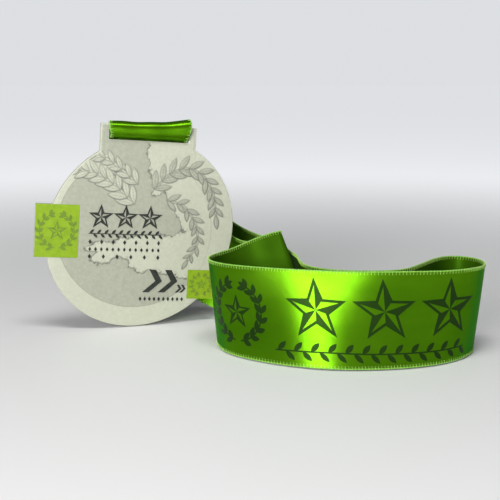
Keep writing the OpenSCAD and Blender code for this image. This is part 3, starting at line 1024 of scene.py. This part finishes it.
RIBBON_SPANS = ["ribbon_bar_wrap", "ribbon_rear_strand_in", "ribbon_fold", "ribbon_inner_band",
                "ribbon_left_turn", "ribbon_front_left", "ribbon_front_right", "ribbon_right_turn",
                "ribbon_return_band", "ribbon_cross_band", "ribbon_rear_strand_out"]
for piece, name in ((ribbon, "ribbon"), (edge_cord, "ribbon"), (edge_stitches, "stitching"),
                    (lap, "ribbon"), (seam_thread, "stitching"), (ribbon_print, "dark_print")):
    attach(piece, "ribbon")
for piece, name in ((plate, "plate"), (face_art, "relief_print"), (dark_print, "dark_print"),
                    (panel_print, "olive_print")):
    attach(piece, "medal")
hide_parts(*RIBBON_SPANS)
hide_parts("ribbon_seam")
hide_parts("medal_plate")
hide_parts("printed_field", "raised_land", "raised_laurel")
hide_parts("printed_marks")
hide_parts("panel_stars")
for name in ("left_panel", "right_panel"):
    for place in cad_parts[name].material_slots:
        place.material = panel_ink


# ---------------------------------------------------------------- floor, light and camera

# The floor is pale and runs to the horizon. Far from the object it glows a little, so that it
# meets the background without a line.
FLOOR_GLOW = 0.62
FLOOR_Z = -0.0004
FLOOR_SIDES = 48
reach = [0.0, 0.3, 0.6, 1.0, 1.6, 2.6, 5.0, 12.0, 60.0]
turns = np.linspace(0, math.tau, FLOOR_SIDES, endpoint=False)
floor_verts = [(r * math.cos(a), r * math.sin(a), FLOOR_Z) for r in reach for a in turns]
floor_paint, tree, bsdf = nodes_of("floor_paint")
bsdf.inputs["Base Color"].default_value = (0.7, 0.7, 0.69, 1)
bsdf.inputs["Roughness"].default_value = 0.55
where = tree.nodes.new("ShaderNodeNewGeometry")
distance = tree.nodes.new("ShaderNodeVectorMath")
distance.operation = "LENGTH"
link(tree, where, "Position", distance, 0)
glow = tree.nodes.new("ShaderNodeMapRange")
glow.interpolation_type = "SMOOTHSTEP"
glow.inputs["From Min"].default_value = 0.1
glow.inputs["From Max"].default_value = 0.85
glow.inputs["To Max"].default_value = FLOOR_GLOW
link(tree, distance, "Value", glow, "Value")
link(tree, glow, "Result", bsdf, "Emission Strength")
bsdf.inputs["Emission Color"].default_value = (0.95, 0.97, 1.0, 1)
floor_faces = grid_faces(len(reach), FLOOR_SIDES, closed_columns=True)
floor = new_piece("floor", floor_verts, floor_faces, floor_paint)

world = bpy.data.worlds.new("studio")
bpy.context.scene.world = world
world.use_nodes = True
sky = world.node_tree
ambient = sky.nodes["Background"]
ambient.inputs["Color"].default_value = (0.93, 0.95, 1.0, 1)
ambient.inputs["Strength"].default_value = 0.2
backdrop = sky.nodes.new("ShaderNodeBackground")
backdrop.inputs["Color"].default_value = (0.95, 0.97, 1.0, 1)
backdrop.inputs["Strength"].default_value = FLOOR_GLOW + 0.14
rays = sky.nodes.new("ShaderNodeLightPath")
choose = sky.nodes.new("ShaderNodeMixShader")
link(sky, rays, "Is Camera Ray", choose, "Fac")
sky.links.new(ambient.outputs[0], choose.inputs[1])
sky.links.new(backdrop.outputs[0], choose.inputs[2])
sky.links.new(choose.outputs[0], sky.nodes["World Output"].inputs["Surface"])
bpy.context.scene.view_settings.view_transform = "Standard"


def softbox(name, at, aim, size, power):
    """A rectangular lamp that faces a point."""
    light = bpy.data.lights.new(name, "AREA")
    light.shape = "RECTANGLE"
    light.size, light.size_y = size
    light.energy = power
    lamp = bpy.data.objects.new(name, light)
    bpy.context.scene.collection.objects.link(lamp)
    lamp.location = at
    lamp.rotation_euler = (Vector(aim) - Vector(at)).to_track_quat("-Z", "Y").to_euler()


# The key lights the front band from the left, where its highlight belongs.
KEY_DISTANCE = 0.95
band = Vector((0.008, -0.058, 0.02))
key = band + Vector((-0.64, -0.73, 0.26)).normalized() * KEY_DISTANCE
softbox("key_softbox", key, band, (0.42, 0.36), 10.4)
softbox("top_softbox", (-0.12, -0.34, 0.85), (-0.04, 0.03, 0.08), (0.5, 0.22), 5.0)

camera_data = bpy.data.cameras.new("camera")
camera_data.lens = 72.5
camera_data.sensor_width = 36
camera_data.clip_start = 0.01
camera_data.clip_end = 200
camera = bpy.data.objects.new("camera", camera_data)
bpy.context.scene.collection.objects.link(camera)
camera.location = (-0.1210, -0.4148, 0.1091)
camera.rotation_euler = (math.radians(80.6), 0, math.radians(-16.56))
bpy.context.scene.camera = camera
